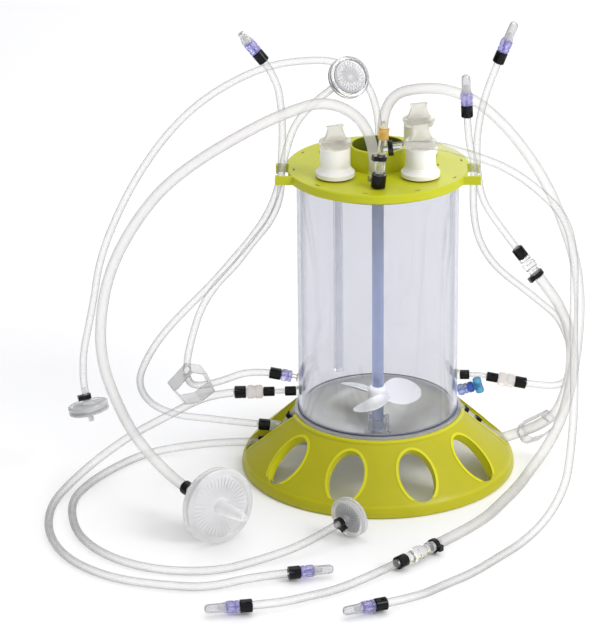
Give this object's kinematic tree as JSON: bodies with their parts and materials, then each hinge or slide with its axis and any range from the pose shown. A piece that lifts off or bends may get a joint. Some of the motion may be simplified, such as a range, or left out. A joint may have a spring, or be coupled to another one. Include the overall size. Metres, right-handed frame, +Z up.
{
  "type": "bench bioreactor",
  "caption": "Clear cylindrical culture vessel on a green openwork skirt, with a green lid, screw-plugged probe ports, a stirrer, side valves, vent filters and capped hose lines.",
  "frame": {"origin": "middle of the skirt's foot on the bench, on the vessel's axis", "axes": "+Z up along the vessel, -Y towards the front with the tee adapter, +X to the right"},
  "size_m": [0.4752, 0.4401, 0.4202],
  "materials": {
    "lime_plastic": "satin",
    "clear_plastic": "clear",
    "white_plastic": "satin",
    "cream_plastic": "translucent",
    "clear_hose": "clear",
    "black_plastic": "satin",
    "purple_plastic": "translucent",
    "red_gasket": "matte",
    "blue_plastic": "translucent",
    "cyan_plastic": "gloss",
    "yellow_plastic": "gloss",
    "shaft_plastic": "satin",
    "filter_plastic": "translucent",
    "valve_plastic": "translucent",
    "dark_plastic": "satin"
  },
  "bodies": {
    "base": {"addition_hose": "clear_hose", "barb_sleeves": "black_plastic", "base_skirt": "lime_plastic", "cable_ties": "black_plastic", "check_valve_left": "valve_plastic", "check_valve_right": "valve_plastic", "dip_tube": "clear_plastic", "drain_filter": "filter_plastic", "drain_hose": "clear_hose", "exhaust_filter": "filter_plastic", "exhaust_hose": "clear_hose", "feed_filter": "filter_plastic", "feed_hose": "clear_hose", "front_adapter": "clear_plastic", "gas_hose": "clear_hose", "harvest_hose": "clear_hose", "inlet_hose": "clear_hose", "lid": "lime_plastic", "lid_barbs": "clear_plastic", "line_connectors": "purple_plastic", "link_tube_left": "clear_hose", "link_tube_right": "clear_hose", "lower_bearing": "clear_plastic", "pinch_clamp_left": "clear_plastic", "pinch_clamp_right": "clear_plastic", "port_fitting_left_lower": "clear_plastic", "port_fitting_left_upper": "purple_plastic", "port_fitting_right": "clear_plastic", "port_gaskets": "red_gasket", "probe_port_left": "white_plastic", "probe_port_rear": "white_plastic", "probe_port_right": "white_plastic", "quick_connect_supply": "clear_plastic", "quick_connect_transfer": "clear_plastic", "return_hose": "clear_hose", "sampling_valve_body": "blue_plastic", "supply_hose": "clear_hose", "supply_tail_hose": "clear_hose", "transfer_hose": "clear_hose", "upper_bearing": "white_plastic", "vent_filter": "filter_plastic", "vent_hose": "clear_hose", "vessel_bottom": "clear_plastic", "vessel_tube": "clear_plastic"},
    "agitator": {"impeller_shaft": "shaft_plastic", "impeller": "white_plastic", "drive_coupling": "dark_plastic"},
    "plug_left": {"probe_plug_left": "cream_plastic"},
    "plug_right": {"probe_plug_right": "cream_plastic"},
    "plug_rear": {"probe_plug_rear": "cream_plastic"},
    "tee_cap": {"adapter_cap": "yellow_plastic"},
    "valve_knob": {"sampling_valve_knob": "cyan_plastic"},
    "cap_inlet": {"end_cap_inlet": "clear_plastic"},
    "cap_transfer": {"end_cap_transfer": "clear_plastic"},
    "cap_return": {"end_cap_return": "clear_plastic"},
    "cap_gas": {"end_cap_gas": "clear_plastic"},
    "cap_supply": {"end_cap_supply": "clear_plastic"},
    "cap_addition": {"end_cap_addition": "clear_plastic"}
  },
  "joints": [
    {"name": "agitator_spin", "type": "hinge", "parent": "base", "child": "agitator", "pos_m": [0, 0, 0.2], "axis": [0, 0, 1], "continuous": true},
    {"name": "plug_left_turn", "type": "hinge", "parent": "base", "child": "plug_left", "pos_m": [-0.037, -0.031, 0.31], "axis": [0, 0, 1], "continuous": true},
    {"name": "plug_right_turn", "type": "hinge", "parent": "base", "child": "plug_right", "pos_m": [0.037, -0.031, 0.31], "axis": [0, 0, 1], "continuous": true},
    {"name": "plug_rear_turn", "type": "hinge", "parent": "base", "child": "plug_rear", "pos_m": [0.036, 0.03, 0.31], "axis": [0, 0, 1], "continuous": true},
    {"name": "tee_cap_turn", "type": "hinge", "parent": "base", "child": "tee_cap", "pos_m": [0, -0.06, 0.2853], "axis": [0.1, 0, 0.995], "continuous": true},
    {"name": "valve_knob_turn", "type": "hinge", "parent": "base", "child": "valve_knob", "pos_m": [0.0715, 0.008, 0.0666], "axis": [0.96, 0, 0.28], "range_deg": [0, 90]},
    {"name": "cap_inlet_pull", "type": "slide", "parent": "base", "child": "cap_inlet", "axis": [-0.6186, -0.0326, 0.785], "range_m": [0, 0.018]},
    {"name": "cap_transfer_pull", "type": "slide", "parent": "base", "child": "cap_transfer", "axis": [0.3677, 0, 0.9299], "range_m": [0, 0.018]},
    {"name": "cap_return_pull", "type": "slide", "parent": "base", "child": "cap_return", "axis": [-0.0419, 0, 0.9991], "range_m": [0, 0.018]},
    {"name": "cap_gas_pull", "type": "slide", "parent": "base", "child": "cap_gas", "axis": [0.9752, 0.2213, 0], "range_m": [0, 0.018]},
    {"name": "cap_supply_pull", "type": "slide", "parent": "base", "child": "cap_supply", "axis": [-0.9848, -0.1738, 0], "range_m": [0, 0.018]},
    {"name": "cap_addition_pull", "type": "slide", "parent": "base", "child": "cap_addition", "axis": [-0.9202, -0.3914, 0], "range_m": [0, 0.018]}
  ]
}
